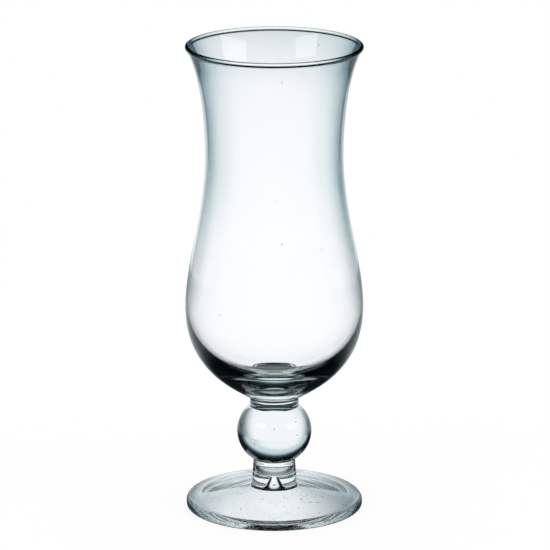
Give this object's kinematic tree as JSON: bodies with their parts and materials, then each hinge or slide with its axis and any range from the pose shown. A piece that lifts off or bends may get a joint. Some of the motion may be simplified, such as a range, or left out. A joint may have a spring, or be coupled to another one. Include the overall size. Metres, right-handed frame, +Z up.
{
  "type": "hurricane glass",
  "caption": "Tall waisted cocktail glass of clear glass, with a flared and beaded rim, a ball in its short stem and a round sloping foot.",
  "frame": {"origin": "centre of the foot, on the surface that the glass stands on", "axes": "+Z up along the axis of the glass; the glass is round, so +X and +Y are free"},
  "size_m": [0.0768, 0.0768, 0.205],
  "materials": {
    "blown_glass": "clear soda-lime glass, mould-blown and fire-polished",
    "pressed_glass": "clear soda-lime glass, pressed and fire-polished"
  },
  "bodies": {
    "root": {"foot": "pressed_glass", "lower_stem": "pressed_glass", "ball_knop": "pressed_glass", "neck_collar": "pressed_glass", "bowl": "blown_glass"}
  },
  "joints": []
}
